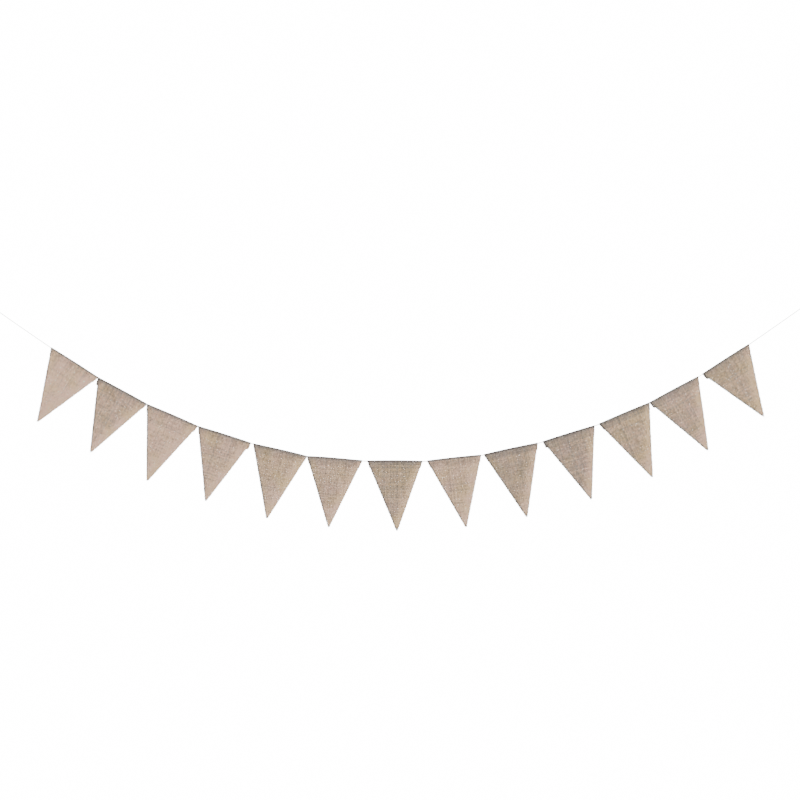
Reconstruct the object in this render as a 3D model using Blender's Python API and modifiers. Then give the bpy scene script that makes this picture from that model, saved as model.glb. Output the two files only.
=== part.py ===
"""Burlap pennant bunting: thirteen hemmed triangular flags strung on one thin cotton cord.

The cord hangs in a catenary between two nails and ends in a tied loop at each of them. Each flag is one
piece of coarse cloth. Its top is folded back over the cord and sewn down, so the cord runs in the fold.

Metres, +Z up. The flags face -Y. The origin is the nail in the left loop.
"""

import math
from collections import namedtuple

import bmesh
import bpy
from mathutils import Vector

CORD_DIAMETER = 0.0020
CORD_SIDES_RESOLUTION = 2
CLEARANCE = 0.0003
FOLD_CLEARANCE = 0.0004

CLOTH = 0.0010
TIP_WIDTH = 0.0030
HEM = 0.017
LAYERS_APART = 0.0015
PINCH = 0.010

# The cord's curve has this radius at its lowest point, and the flags start this far along it from there.
CURVE_RADIUS = 1.397
FIRST_FLAG = -0.950
TAIL_SLOPE = 0.71
LEFT_TAIL = 0.190
RIGHT_TAIL = 0.186

LOOP_LENGTH = 0.030
LOOP_BEND = 0.0048
NAIL_RADIUS = 0.0030
KNOT_WIDTH = 0.0070
KNOT_TURNS = 4
KNOT_LENGTH = KNOT_TURNS * CORD_DIAMETER
END_LENGTH = 0.012
END_SPLAY = 0.0035

COLUMNS = 8
CORD_STEPS_A_FLAG = 4
CORD_STEPS_A_TAIL = 5
FOLD_STEPS = 4
RIDGE_STEPS = 4
KNOT_STEPS = 16
HEM_STATIONS = (0.32, 0.65, 1.0)
PANEL_STATIONS = (0.18, 0.28, 0.39, 0.52, 0.67, 0.83, 1.0)

# One row for each flag, left to right, in millimetres. gap: the bare cord before it. width: its top edge.
# rise: how far the cord stands above the catenary where the flag starts. drop: how far below the cord its
# sides would meet. lean: how far the tip hangs to the right of the middle. tip: how far the tip curls
# towards the front. bow: how far the slanted sides stand forward of the middle. ripple: the height of the
# soft wave down the cloth. ear_l and ear_r: how far the corners of the folded-back flap stick out past the
# slanted sides.
Flag = namedtuple("Flag", "gap width rise drop lean tip bow ripple ear_l ear_r")
FLAGS = (
    Flag(0.0, 141.5, 2.6, 181.0, 2.0, 5.0, 2.0, 0.8, 1.0, 1.2),
    Flag(1.2, 141.0, 1.4, 181.0, 3.0, -4.0, -2.5, 1.0, 4.5, 1.0),
    Flag(1.2, 141.0, -0.8, 183.0, 8.0, 6.0, 3.0, -0.7, 1.2, 1.5),
    Flag(2.5, 141.0, -1.9, 178.5, 6.0, 11.0, 2.5, 1.2, 0.8, 4.5),
    Flag(8.0, 140.5, -1.2, 181.5, 6.5, -3.0, -2.0, 0.9, 1.0, 0.6),
    Flag(1.2, 141.5, -3.7, 179.0, -1.5, 9.0, 3.5, -1.1, 1.4, 1.0),
    Flag(14.5, 140.5, 1.5, 181.5, 6.5, -5.0, -3.0, 0.8, 1.5, 0.8),
    Flag(13.5, 138.5, 1.3, 182.0, 11.5, 7.0, 2.5, 1.0, 1.0, 1.2),
    Flag(8.5, 140.5, 1.7, 182.0, 3.5, 4.0, -2.0, -0.9, 0.8, 1.6),
    Flag(15.0, 138.5, 2.2, 181.0, 6.5, -6.0, -3.5, 1.1, 4.5, 1.0),
    Flag(13.5, 140.5, 0.4, 181.5, 2.5, 8.0, 3.0, 0.7, 1.2, 1.0),
    Flag(1.8, 140.5, -1.0, 182.0, 4.0, -4.0, -2.0, -1.0, 4.0, 0.8),
    Flag(14.0, 141.0, -0.6, 178.5, 2.0, 5.0, 2.5, 0.9, 4.8, 1.0),
)
LAST_RISE = -1.0
MM = 0.001

BURLAP = {"colour": (0.485, 0.386, 0.319), "roughness": 0.95}
COTTON = {"colour": (0.82, 0.81, 0.78), "roughness": 0.85}

FRONT = Vector((0.0, -1.0, 0.0))


def clear_scene():
    for obj in list(bpy.data.objects):
        bpy.data.objects.remove(obj, do_unlink=True)


def make_material(name, finish):
    material = bpy.data.materials.new(name)
    material.use_nodes = True
    shader = material.node_tree.nodes["Principled BSDF"]
    shader.inputs["Base Color"].default_value = (*finish["colour"], 1.0)
    shader.inputs["Roughness"].default_value = finish["roughness"]
    shader.inputs["Metallic"].default_value = 0.0
    return material


def add_object(name, data, collection, material):
    obj = bpy.data.objects.new(name, data)
    data.materials.append(material)
    collection.objects.link(obj)
    return obj


def flag_spans():
    """Where each flag starts and ends along the cord, measured from the lowest point."""
    spans = []
    at = FIRST_FLAG
    for flag in FLAGS:
        start = at + flag.gap * MM
        at = start + flag.width * MM
        spans.append((start, at))
    return spans


def rise_at(s, spans):
    """How far the cord stands above the catenary, eased from the start of one flag to the next."""
    knots = [start for start, _ in spans] + [spans[-1][1]]
    rises = [flag.rise * MM for flag in FLAGS] + [LAST_RISE * MM]
    for k in range(len(knots) - 1):
        if s <= knots[k + 1]:
            share = max(0.0, (s - knots[k]) / (knots[k + 1] - knots[k]))
            eased = 0.5 - 0.5 * math.cos(math.pi * share)
            return rises[k] + (rises[k + 1] - rises[k]) * eased
    return rises[-1]


def on_curve(s, spans):
    """The cord's centre at s along the catenary, from its lowest point."""
    x = CURVE_RADIUS * math.asinh(s / CURVE_RADIUS)
    z = CURVE_RADIUS * (math.cosh(x / CURVE_RADIUS) - 1.0)
    return Vector((x, 0.0, z + rise_at(s, spans)))


def flag_lines(spans):
    """The cord's points inside each flag's fold, from its left end to its right end."""
    lines = []
    for start, end in spans:
        shares = [k / CORD_STEPS_A_FLAG for k in range(CORD_STEPS_A_FLAG + 1)]
        lines.append([on_curve(start + (end - start) * share, spans) for share in shares])
    return lines


def tail_line(end, before, length, side):
    """The bare cord from an outer flag up to its knot. side is -1 on the left and 1 on the right."""
    along = Vector((side, 0.0, TAIL_SLOPE)).normalized()
    leaving = (end - before).normalized()
    knot = end + (leaving + along).normalized() * length
    points = []
    for k in range(1, CORD_STEPS_A_TAIL + 1):
        t = k / CORD_STEPS_A_TAIL
        h_end = 2 * t**3 - 3 * t**2 + 1
        h_leaving = (t**3 - 2 * t**2 + t) * length
        h_knot = 3 * t**2 - 2 * t**3
        h_along = (t**3 - t**2) * length
        points.append(end * h_end + leaving * h_leaving + knot * h_knot + along * h_along)
    return points, along


def tube(name, points, collection, material):
    curve = bpy.data.curves.new(name, "CURVE")
    curve.dimensions = "3D"
    curve.bevel_depth = CORD_DIAMETER / 2
    curve.bevel_resolution = CORD_SIDES_RESOLUTION
    curve.use_fill_caps = True
    spline = curve.splines.new("POLY")
    spline.points.add(len(points) - 1)
    for target, point in zip(spline.points, points):
        target.co = (*point, 1.0)
    return add_object(name, curve, collection, material)


def loop_line(knot_end, along):
    """A teardrop from the knot, round the nail and back, with its bend at the far end."""
    across = Vector((-along.z, 0.0, along.x))
    legs_apart = CORD_DIAMETER + CLEARANCE
    reach = LOOP_LENGTH - LOOP_BEND
    leg = []
    for k in range(6):
        t = k / 6
        eased = t * t * (3 - 2 * t)
        offset = legs_apart / 2 + (LOOP_BEND - legs_apart / 2) * eased
        leg.append((reach * t, offset))
    bend = []
    for k in range(9):
        angle = math.pi / 2 - math.pi * k / 8
        bend.append((reach + LOOP_BEND * math.cos(angle), LOOP_BEND * math.sin(angle)))
    back = [(run, -offset) for run, offset in reversed(leg)]
    return [knot_end + along * run + across * offset for run, offset in leg + bend + back]


def nail_point(knot_end, along):
    """The middle of the nail, which bears on the inside of the loop's bend."""
    bearing = LOOP_LENGTH - CORD_DIAMETER / 2 - NAIL_RADIUS
    return knot_end + along * bearing


def end_line(knot_start, along):
    """The cord's short cut end, which leaves the knot beside the cord and hangs away from it."""
    lower = Vector((math.copysign(along.z, along.x), 0.0, -abs(along.x)))
    beside = CORD_DIAMETER + CLEARANCE
    points = []
    for k in range(7):
        t = k / 6
        points.append(knot_start - along * END_LENGTH * t + lower * (beside + END_SPLAY * t * t))
    return points


def add_knot(name, centre, along, collection, material):
    """The tied knot: turns of cord pulled tight side by side round both legs, as one turned profile."""
    bulge = CORD_DIAMETER / 2
    core = KNOT_WIDTH / 2 - bulge
    profile = [(0.0, KNOT_LENGTH / 2)]
    for turn in range(KNOT_TURNS):
        middle = KNOT_LENGTH / 2 - CORD_DIAMETER * (turn + 0.5)
        for k in range(RIDGE_STEPS):
            angle = math.pi * k / RIDGE_STEPS
            profile.append((core + bulge * math.sin(angle), middle + bulge * math.cos(angle)))
    profile.append((core, -KNOT_LENGTH / 2))
    profile.append((0.0, -KNOT_LENGTH / 2))

    bm = bmesh.new()
    verts = [bm.verts.new((radius, 0.0, height)) for radius, height in profile]
    for upper, lower in zip(verts, verts[1:]):
        bm.edges.new((upper, lower))
    mesh = bpy.data.meshes.new(name)
    bm.to_mesh(mesh)
    bm.free()
    obj = add_object(name, mesh, collection, material)
    turned = obj.modifiers.new("turned", "SCREW")
    turned.steps = KNOT_STEPS
    turned.render_steps = KNOT_STEPS
    turned.use_merge_vertices = True
    turned.merge_threshold = 0.00001
    turned.use_smooth_shade = True
    obj.rotation_mode = "QUATERNION"
    obj.rotation_quaternion = along.to_track_quat("Z", "Y")
    obj.location = centre
    return obj


def section_rows(flag):
    """The cloth's section over the cord, from the flap's lower edge over the fold and down to the tip.

    Each row is (out, down, flap): how far the cloth's middle stands to the front of the cord's centre, how
    far it is below that centre, and whether the row is on the flap.
    """
    radius = CORD_DIAMETER / 2 + FOLD_CLEARANCE + CLOTH / 2
    sides = []
    for share in HEM_STATIONS:
        down = HEM * share
        eased = min(1.0, down / PINCH)
        eased = eased * eased * (3 - 2 * eased)
        sides.append((radius + (LAYERS_APART / 2 - radius) * eased, down))
    flap = [(-out, down, True) for out, down in reversed(sides)]
    fold = []
    for k in range(FOLD_STEPS + 1):
        angle = -math.pi / 2 + math.pi * k / FOLD_STEPS
        fold.append((radius * math.sin(angle), -radius * math.cos(angle), k < FOLD_STEPS / 2))
    hem = [(out, down, False) for out, down in sides]
    length = flag.drop * MM - TIP_WIDTH * flag.drop / flag.width
    panel = [(LAYERS_APART / 2, length * share, False) for share in PANEL_STATIONS]
    return flap + fold + hem + panel


def edges_at(flag, width, down, flap):
    """Where the cloth's left and right edges are along the top edge's line, this far below the cord."""
    share = max(0.0, down) / (flag.drop * MM)
    left = (width / 2 + flag.lean * MM) * share
    right = width - (width / 2 - flag.lean * MM) * share
    if flap:
        left -= flag.ear_l * MM * max(0.0, down) / HEM
        right += flag.ear_r * MM * max(0.0, down) / HEM
    return left, right


def hang_out(flag, side, down):
    """How far the hanging cloth stands to the front here, from its curl, its bow and its ripple."""
    depth = max(0.0, down) / (flag.drop * MM)
    curl = flag.tip * MM * depth**2.4
    bow = flag.bow * MM * side * side * math.sin(math.pi * min(1.0, depth * 1.15)) ** 2
    wave = math.sin(2.0 * math.pi * (1.3 * depth + 0.22 * side)) - math.sin(0.44 * math.pi * side)
    ripple = flag.ripple * MM * wave * min(1.0, 3.0 * depth)
    return curl + bow + ripple


def sag_at(line, left, run, downward, reach):
    """How far the cord lies below the straight line between the flag's ends, at reach from the left."""
    places = [(point - left).dot(run) for point in line]
    reach = min(max(reach, places[0]), places[-1])
    for k in range(len(line) - 1):
        if reach <= places[k + 1]:
            share = (reach - places[k]) / (places[k + 1] - places[k])
            return (line[k].lerp(line[k + 1], share) - left).dot(downward)
    return 0.0


def add_flag(name, flag, line, collection, material):
    """One flag: a grid bent over the cord along its section, narrowed to the tip and given its thickness."""
    left, right = line[0], line[-1]
    run = (right - left).normalized()
    downward = Vector((run.z, 0.0, -run.x))
    width = (right - left).length
    rows = section_rows(flag)
    bm = bmesh.new()
    bmesh.ops.create_grid(bm, x_segments=COLUMNS, y_segments=len(rows) - 1, size=1.0)
    for vertex in bm.verts:
        out, down, flap = rows[round((1.0 - vertex.co.y) / 2 * (len(rows) - 1))]
        first, last = edges_at(flag, width, down, flap)
        reach = first + (last - first) * (vertex.co.x + 1.0) / 2
        follow = max(0.0, 1.0 - max(0.0, down) / (3 * HEM))
        sag = sag_at(line, left, run, downward, reach) * follow
        front = out + hang_out(flag, 2 * reach / width - 1.0, down)
        vertex.co = left + run * reach + downward * (down + sag) + FRONT * front
    bmesh.ops.recalc_face_normals(bm, faces=bm.faces)
    mesh = bpy.data.meshes.new(name)
    bm.to_mesh(mesh)
    bm.free()
    obj = add_object(name, mesh, collection, material)
    solidify = obj.modifiers.new("cloth", "SOLIDIFY")
    solidify.thickness = CLOTH
    solidify.offset = 0.0
    solidify.use_even_offset = True
    solidify.use_quality_normals = True
    return obj


def build():
    clear_scene()
    collection = bpy.data.collections.new("pennant_bunting")
    bpy.context.scene.collection.children.link(collection)
    burlap = make_material("burlap", BURLAP)
    cotton = make_material("cotton", COTTON)

    spans = flag_spans()
    lines = flag_lines(spans)
    left_tail, left_along = tail_line(lines[0][0], lines[0][1], LEFT_TAIL, -1)
    right_tail, right_along = tail_line(lines[-1][-1], lines[-1][-2], RIGHT_TAIL, 1)
    origin = nail_point(left_tail[-1] + left_along * (KNOT_LENGTH + 2 * CLEARANCE), left_along)
    lines = [[point - origin for point in line] for line in lines]
    left_tail = [point - origin for point in left_tail]
    right_tail = [point - origin for point in right_tail]

    route = list(reversed(left_tail)) + [point for line in lines for point in line] + right_tail
    tube("cord", route, collection, cotton)
    for side, end, along in (("left", left_tail[-1], left_along), ("right", right_tail[-1], right_along)):
        knot_start = end + along * CLEARANCE
        knot_end = knot_start + along * (KNOT_LENGTH + CLEARANCE)
        middle = knot_start + along * KNOT_LENGTH / 2
        add_knot(side + "_knot", middle, along, collection, cotton)
        tube(side + "_loop", loop_line(knot_end, along), collection, cotton)
        tube(side + "_end", end_line(end, along), collection, cotton)

    for number, (flag, line) in enumerate(zip(FLAGS, lines), start=1):
        add_flag(f"flag_{number:02d}", flag, line, collection, burlap)


build()
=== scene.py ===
import math
from collections import namedtuple

import bpy
import numpy as np
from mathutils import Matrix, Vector, noise


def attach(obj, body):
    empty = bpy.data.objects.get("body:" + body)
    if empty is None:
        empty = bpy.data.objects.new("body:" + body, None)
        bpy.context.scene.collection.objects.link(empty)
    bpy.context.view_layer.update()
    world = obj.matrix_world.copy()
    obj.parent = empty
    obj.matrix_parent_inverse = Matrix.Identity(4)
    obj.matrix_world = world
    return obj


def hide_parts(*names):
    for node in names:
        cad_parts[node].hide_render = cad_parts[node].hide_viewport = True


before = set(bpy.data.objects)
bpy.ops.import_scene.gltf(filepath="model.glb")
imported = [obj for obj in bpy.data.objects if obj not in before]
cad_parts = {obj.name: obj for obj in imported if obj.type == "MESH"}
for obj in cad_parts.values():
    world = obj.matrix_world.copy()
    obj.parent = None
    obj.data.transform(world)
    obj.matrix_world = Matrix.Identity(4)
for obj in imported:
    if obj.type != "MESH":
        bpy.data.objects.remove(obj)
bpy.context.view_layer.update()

# The view: the banner is seen face on through a long lens, with its middle a little below the picture's
# centre. The picture is square.
SEEN_WIDTH = 2.059
SEEN_CENTRE = (1.0818, -0.2621)
LENS_MM = 85.0
SENSOR_MM = 36.0

view_data = bpy.data.cameras.new("view")
view_data.lens = LENS_MM
view_data.sensor_width = SENSOR_MM
view = bpy.data.objects.new("view", view_data)
view.location = (SEEN_CENTRE[0], -SEEN_WIDTH * LENS_MM / SENSOR_MM, SEEN_CENTRE[1])
view.rotation_euler = (math.pi / 2, 0.0, 0.0)
bpy.context.scene.collection.objects.link(view)
bpy.context.scene.camera = view

# The cord is one thin white cotton cord of three strands twisted together. It runs through the fold of
# every flag and hangs in a catenary, and its bare ends go up to a tied loop at each side.
MM = 0.001
CLEARANCE = 0.0003
CORD = 0.0020
CORD_STEP = 0.0008
CORD_SIDES = 12
STRANDS = 3
STRAND_LAY = 0.0080
GROOVE_DEPTH = 0.34
OFF_GROOVE = 0.0001
COTTON = (0.86, 0.85, 0.82, 1.0)
# The cotton's colour deep in the grooves between strands, which is painted shade.
COTTON_GROOVE_SHADE = (0.50, 0.48, 0.45, 1.0)
CROWN_SHARE = 0.75
FIBRE_SHARE = 0.4
CURVE_RADIUS = 1.397
FIRST_FLAG = -0.950
LAST_RISE = -0.0010
TAIL_SLOPE = 0.71
LEFT_TAIL = 0.190
RIGHT_TAIL = 0.186
STEPS_A_FLAG = 12
STEPS_A_TAIL = 14
KNOT_LENGTH = 0.008
KNOT_INSIDE = 0.003
LOOP_LENGTH = 0.030
NAIL_RADIUS = 0.0030

# One row for each flag, left to right, with its lengths in millimetres. gap, width and rise place it on the
# cord: the bare cord before it, its top edge, and the cord's height above the catenary there. drop and lean
# place the point where its sides would meet. tip, bow and ripple are how its cloth stands forward, and
# ear_l and ear_r how far the corners of its back flap stick out. shade is how light its cloth is beside the
# others, and straw how much more yellow.
Flag = namedtuple("Flag", "gap width rise drop lean tip bow ripple ear_l ear_r shade straw")
FLAGS = (
    Flag(0.0, 141.5, 2.6, 181.0, 2.0, 5.0, 2.0, 0.8, 1.0, 1.2, 1.52, -0.15),
    Flag(1.2, 141.0, 1.4, 181.0, 3.0, -4.0, -2.5, 1.0, 4.5, 1.0, 1.00, 0.0),
    Flag(1.2, 141.0, -0.8, 183.0, 8.0, 6.0, 3.0, -0.7, 1.2, 1.5, 1.26, -0.15),
    Flag(2.5, 141.0, -1.9, 178.5, 6.0, 11.0, 2.5, 1.2, 0.8, 4.5, 1.09, 0.0),
    Flag(8.0, 140.5, -1.2, 181.5, 6.5, -3.0, -2.0, 0.9, 1.0, 0.6, 0.98, 0.25),
    Flag(1.2, 141.5, -3.7, 179.0, -1.5, 9.0, 3.5, -1.1, 1.4, 1.0, 1.02, 0.0),
    Flag(14.5, 140.5, 1.5, 181.5, 6.5, -5.0, -3.0, 0.8, 1.5, 0.8, 0.84, 0.3),
    Flag(13.5, 138.5, 1.3, 182.0, 11.5, 7.0, 2.5, 1.0, 1.0, 1.2, 1.10, 0.0),
    Flag(8.5, 140.5, 1.7, 182.0, 3.5, 4.0, -2.0, -0.9, 0.8, 1.6, 0.77, 0.15),
    Flag(15.0, 138.5, 2.2, 181.0, 6.5, -6.0, -3.5, 1.1, 4.5, 1.0, 0.76, 0.0),
    Flag(13.5, 140.5, 0.4, 181.5, 2.5, 8.0, 3.0, 0.7, 1.2, 1.0, 0.90, 0.35),
    Flag(1.8, 140.5, -1.0, 182.0, 4.0, -4.0, -2.0, -1.0, 4.0, 0.8, 0.85, 0.0),
    Flag(14.0, 141.0, -0.6, 178.5, 2.0, 5.0, 2.5, 0.9, 4.8, 1.0, 0.93, 0.35),
)


def flag_spans():
    """Where each flag starts and ends along the cord, measured from the lowest point."""
    spans = []
    at = FIRST_FLAG
    for flag in FLAGS:
        start = at + flag.gap * MM
        at = start + flag.width * MM
        spans.append((start, at))
    return spans


def rise_at(s, spans):
    """How far the cord stands above the catenary, eased from the start of one flag to the next."""
    starts = [start for start, _ in spans] + [spans[-1][1]]
    rises = [flag.rise * MM for flag in FLAGS] + [LAST_RISE]
    for k in range(len(starts) - 1):
        if s <= starts[k + 1]:
            share = max(0.0, (s - starts[k]) / (starts[k + 1] - starts[k]))
            return rises[k] + (rises[k + 1] - rises[k]) * (0.5 - 0.5 * math.cos(math.pi * share))
    return rises[-1]


def on_curve(s, spans):
    """The cord's centre at s along the catenary, from its lowest point."""
    x = CURVE_RADIUS * math.asinh(s / CURVE_RADIUS)
    z = CURVE_RADIUS * (math.cosh(x / CURVE_RADIUS) - 1.0)
    return Vector((x, 0.0, z + rise_at(s, spans)))


def tail_line(end, before, length, side):
    """The bare cord from an outer flag up to its knot, and the way in which it goes on from there."""
    along = Vector((side, 0.0, TAIL_SLOPE)).normalized()
    leaving = (end - before).normalized()
    knot = end + (leaving + along).normalized() * length
    points = []
    for k in range(1, STEPS_A_TAIL + 1):
        t = k / STEPS_A_TAIL
        h_end = 2 * t**3 - 3 * t**2 + 1
        h_leaving = (t**3 - 2 * t**2 + t) * length
        h_knot = 3 * t**2 - 2 * t**3
        h_along = (t**3 - t**2) * length
        points.append(end * h_end + leaving * h_leaving + knot * h_knot + along * h_along)
    return points, along


def node(tree, kind, inputs=None, **settings):
    """One node of a tree, with its settings and with its inputs, which are values or other outputs."""
    made = tree.nodes.new(kind)
    for name, value in settings.items():
        setattr(made, name, value)
    for key, value in (inputs or {}).items():
        if isinstance(value, bpy.types.NodeSocket):
            tree.links.new(value, made.inputs[key])
        else:
            made.inputs[key].default_value = value
    return made


def result(tree, kind, inputs=None, **settings):
    """What one new node gives first."""
    return node(tree, kind, inputs, **settings).outputs[0]


def sums(tree, operation, a, b=0.0, c=0.0):
    """One sum on numbers."""
    return result(tree, "ShaderNodeMath", {0: a, 1: b, 2: c}, operation=operation)


def scaled(tree, vector, factor):
    """A vector made longer by this factor."""
    return result(tree, "ShaderNodeVectorMath", {0: vector, "Scale": factor}, operation="SCALE")


def new_tree(name, sizes):
    """A tree from one geometry to another with these named inputs, and what they give, by name."""
    tree = bpy.data.node_groups.new(name, "GeometryNodeTree")
    tree.interface.new_socket("Geometry", in_out="INPUT", socket_type="NodeSocketGeometry")
    for label, kind in sizes.items():
        tree.interface.new_socket(label, in_out="INPUT", socket_type="NodeSocket" + kind)
    tree.interface.new_socket("Geometry", in_out="OUTPUT", socket_type="NodeSocketGeometry")
    taken = tree.nodes.new("NodeGroupInput").outputs
    return tree, {socket.name: socket for socket in taken if socket.name}


def close_tree(tree, geometry, material):
    """Ends a tree with smooth faces, their material and plain geometry."""
    smooth = result(tree, "GeometryNodeSetShadeSmooth", {"Geometry": geometry})
    dressed = result(tree, "GeometryNodeSetMaterial", {"Geometry": smooth, "Material": material})
    plain = result(tree, "GeometryNodeRealizeInstances", {"Geometry": dressed})
    node(tree, "NodeGroupOutput", {"Geometry": plain})


def kept(tree, geometry, fields):
    """The geometry with these fields kept on its points, and the kept fields by name."""
    keeping = tree.nodes.new("GeometryNodeCaptureAttribute")
    for label, (kind, field) in fields.items():
        keeping.capture_items.new(kind, label)
        tree.links.new(field, keeping.inputs[label])
    tree.links.new(geometry, keeping.inputs[0])
    return keeping.outputs[0], {label: keeping.outputs[label] for label in fields}


def stored(tree, geometry, name, kind, domain, field):
    """The geometry with a field stored on it under a name, for its material to read."""
    inputs = {"Geometry": geometry, "Name": name, "Value": field}
    return result(tree, "GeometryNodeStoreNamedAttribute", inputs, data_type=kind, domain=domain)


def made_by(tree, name, mesh, sizes):
    """The plain mesh object that a tree makes from a mesh and these sizes."""
    obj = bpy.data.objects.new(name, mesh)
    bpy.context.scene.collection.objects.link(obj)
    modifier = obj.modifiers.new("made", "NODES")
    modifier.node_group = tree
    for item in tree.interface.items_tree:
        if item.in_out == "INPUT" and item.name in sizes:
            modifier[item.identifier] = sizes[item.name]
    evaluated = obj.evaluated_get(bpy.context.evaluated_depsgraph_get())
    plain = bpy.data.meshes.new_from_object(evaluated)
    plain.name = name
    obj.modifiers.remove(modifier)
    obj.data = plain
    return obj


def line_mesh(name, *lines):
    """A mesh of edges alone, along each of these lines."""
    edges = []
    start = 0
    for line in lines:
        edges += [(start + k, start + k + 1) for k in range(len(line) - 1)]
        start += len(line)
    mesh = bpy.data.meshes.new(name)
    mesh.from_pydata([tuple(point) for line in lines for point in line], edges, [])
    return mesh


def twisted_cord_tree():
    """Three strands laid round each other along a line, as one grooved section that turns as it goes."""
    tree, given = new_tree(
        "twisted cord",
        {"Diameter": "Float", "Lay": "Float", "Step": "Float", "Material": "Material"},
    )
    line = result(tree, "GeometryNodeMeshToCurve", {"Mesh": given["Geometry"]})
    line = result(tree, "GeometryNodeResampleCurve", {"Curve": line, "Length": given["Step"]}, mode="LENGTH")
    run = node(tree, "GeometryNodeSplineParameter").outputs["Length"]
    turned = sums(tree, "MULTIPLY", sums(tree, "DIVIDE", run, given["Lay"]), math.tau)
    line = result(tree, "GeometryNodeSetCurveTilt", {"Curve": line, "Tilt": turned})

    section = result(tree, "GeometryNodeCurvePrimitiveCircle", {"Resolution": CORD_SIDES, "Radius": 1.0})
    round_it = node(tree, "GeometryNodeSplineParameter").outputs["Factor"]
    strand = sums(tree, "FRACT", sums(tree, "MULTIPLY_ADD", round_it, STRANDS, OFF_GROOVE))
    crown = sums(tree, "SQRT", sums(tree, "SINE", sums(tree, "MULTIPLY", strand, math.pi)))
    section, on_it = kept(tree, section, {"crown": ("FLOAT", crown)})
    radius = sums(tree, "MULTIPLY_ADD", on_it["crown"], GROOVE_DEPTH, 1.0 - GROOVE_DEPTH)
    radius = sums(tree, "MULTIPLY", radius, sums(tree, "MULTIPLY", given["Diameter"], 0.5))
    place = scaled(tree, result(tree, "GeometryNodeInputPosition"), radius)
    section = result(tree, "GeometryNodeSetPosition", {"Geometry": section, "Position": place})

    laid = {"Curve": line, "Profile Curve": section, "Fill Caps": True}
    tube = result(tree, "GeometryNodeCurveToMesh", laid)
    tube = stored(tree, tube, "crown", "FLOAT", "POINT", on_it["crown"])
    close_tree(tree, tube, given["Material"])
    return tree


def new_material(name, roughness, sheen=0.0):
    """A plain material and its tree."""
    material = bpy.data.materials.new(name)
    material.use_nodes = True
    shader = material.node_tree.nodes["Principled BSDF"]
    shader.inputs["Roughness"].default_value = roughness
    shader.inputs["Sheen Weight"].default_value = sheen
    return material, material.node_tree


def clouds(tree, place, scale, detail):
    """Soft clouds from 0 to 1, the smaller the larger their scale."""
    return result(tree, "ShaderNodeTexNoise", {"Vector": place, "Scale": scale, "Detail": detail})


def blended(tree, share, colour, other):
    """A share of the way from one colour to another."""
    return node(tree, "ShaderNodeMix", {0: share, 6: colour, 7: other}, data_type="RGBA").outputs[2]


def swung(tree, light, cloud, swing):
    """The light, made up to half of swing stronger or weaker by a cloud."""
    return sums(tree, "MULTIPLY", light, sums(tree, "MULTIPLY_ADD", cloud, swing, 1.0 - swing / 2))


def dress(tree, colour, height, strength, depth):
    """Gives a material this colour, and fine relief of this height."""
    shader = tree.nodes["Principled BSDF"]
    relief = result(tree, "ShaderNodeBump", {"Height": height, "Strength": strength, "Distance": depth})
    tree.links.new(colour, shader.inputs["Base Color"])
    tree.links.new(relief, shader.inputs["Normal"])


def cotton_material():
    """Dry white cotton, with painted shade in the grooves between the strands, and fine fibres in relief
    that are also painted lighter where they stand up.
    """
    material, tree = new_material("white cotton", roughness=0.85, sheen=0.2)
    place = node(tree, "ShaderNodeTexCoord").outputs["Object"]
    fibres = clouds(tree, place, scale=2600.0, detail=3.0)
    soiling = clouds(tree, place, scale=35.0, detail=2.0)
    crown = node(tree, "ShaderNodeAttribute", attribute_name="crown").outputs["Fac"]
    height = sums(tree, "MULTIPLY", crown, CROWN_SHARE)
    height = sums(tree, "ADD", height, sums(tree, "MULTIPLY", fibres, FIBRE_SHARE))
    # Painted shade: darker towards the strands' grooves, with painted highlights on the fibres' raised
    # spots.
    colour = blended(tree, height, COTTON_GROOVE_SHADE, COTTON)
    light = swung(tree, 1.0, soiling, swing=0.12)
    colour = result(tree, "ShaderNodeHueSaturation", {"Color": colour, "Value": light})
    dress(tree, colour, fibres, strength=0.5, depth=0.00015)
    return material


spans = flag_spans()
shares = [k / STEPS_A_FLAG for k in range(STEPS_A_FLAG + 1)]
flag_lines = []
for start, end in spans:
    flag_lines.append([on_curve(start + (end - start) * share, spans) for share in shares])
left_tail, left_along = tail_line(flag_lines[0][0], flag_lines[0][1], LEFT_TAIL, -1)
right_tail, right_along = tail_line(flag_lines[-1][-1], flag_lines[-1][-2], RIGHT_TAIL, 1)

# The frame's origin is the nail, which bears on the inside of the left loop's bend.
left_knot_end = left_tail[-1] + left_along * (KNOT_LENGTH + 2 * CLEARANCE)
origin = left_knot_end + left_along * (LOOP_LENGTH - CORD / 2 - NAIL_RADIUS)
flag_lines = [[point - origin for point in line] for line in flag_lines]
left_tail = [point - origin for point in left_tail]
right_tail = [point - origin for point in right_tail]

cord_tree = twisted_cord_tree()
cord_sizes = {"Diameter": CORD, "Lay": STRAND_LAY, "Step": CORD_STEP, "Material": cotton_material()}
route = left_tail[::-1] + [point for line in flag_lines for point in line] + right_tail
route = [route[0] + left_along * KNOT_INSIDE] + route + [route[-1] + right_along * KNOT_INSIDE]
cord = made_by(cord_tree, "cord_strands", line_mesh("cord_strands", route), cord_sizes)
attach(cord, "root")
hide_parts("cord")

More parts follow.
